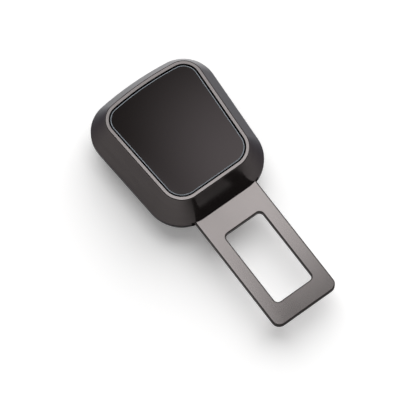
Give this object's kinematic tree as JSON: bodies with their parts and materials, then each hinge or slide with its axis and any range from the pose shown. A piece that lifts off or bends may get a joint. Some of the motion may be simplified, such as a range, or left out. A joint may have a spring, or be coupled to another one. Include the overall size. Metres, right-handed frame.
{
  "type": "seat belt extender",
  "caption": "Seat belt extender: a flat steel tongue with a window on a rounded head, with a push panel, a latched socket in its far end and an ejector.",
  "frame": {"origin": "middle of the part's length and width, at the flat back face that it rests on", "axes": "+Y along the length from the tongue's tip to the socket's mouth, +Z out of the button's face, +X across the width"},
  "size_m": [0.0416, 0.0856, 0.0194],
  "materials": {
    "front_shell": "smooth glossy gunmetal",
    "back_shell": "satin dark grey moulding",
    "tongue_steel": "satin gunmetal plating",
    "black_moulding": "fine matte black",
    "red_moulding": "matte red",
    "spring_steel": "bright spring wire",
    "latch_steel": "zinc plated steel",
    "adhesive_pad": "pale foam adhesive",
    "face_panel": "dark satin-gloss panel with a polished chamfer",
    "dark_screw": "blackened steel"
  },
  "bodies": {
    "housing": {"front_shell": "front_shell", "back_shell": "back_shell", "tongue_plate": "tongue_steel", "socket_liner": "black_moulding", "pivot_pin": "latch_steel", "pin_clip_left": "spring_steel", "pin_clip_right": "spring_steel", "ejector_spring": "spring_steel", "latch_spring": "spring_steel", "button_spring_1": "spring_steel", "button_spring_2": "spring_steel", "button_spring_3": "spring_steel", "button_spring_4": "spring_steel", "housing_screw_1": "dark_screw", "housing_screw_2": "dark_screw", "housing_screw_3": "dark_screw", "housing_screw_4": "dark_screw", "plate_screw_left": "latch_steel", "plate_screw_right": "latch_steel"},
    "button": {"button_body": "black_moulding", "face_pad": "adhesive_pad", "face_plate": "face_panel"},
    "latch": {"latch": "latch_steel"},
    "ejector": {"ejector": "red_moulding"}
  },
  "joints": [
    {"name": "button_press", "type": "slide", "parent": "housing", "child": "button", "axis": [0, 0, -1], "range_m": [0, 0.0014], "stiffness_N_per_m": 4000, "springref_m": -0.0008, "deforming": ["button_spring_1", "button_spring_2", "button_spring_3", "button_spring_4"]},
    {"name": "latch_pivot", "type": "hinge", "parent": "housing", "child": "latch", "pos_m": [0, 0.023, 0.0118], "axis": [1, 0, 0], "range_deg": [0, 11.6], "deforming": ["latch_spring"]},
    {"name": "ejector_slide", "type": "slide", "parent": "housing", "child": "ejector", "axis": [0, -1, 0], "range_m": [0, 0.007], "stiffness_N_per_m": 400, "springref_m": -0.003, "deforming": ["ejector_spring"]}
  ],
  "couplings": [
    {"joint": "latch_pivot", "follows": "button_press", "rad_per_m": 142.86}
  ]
}
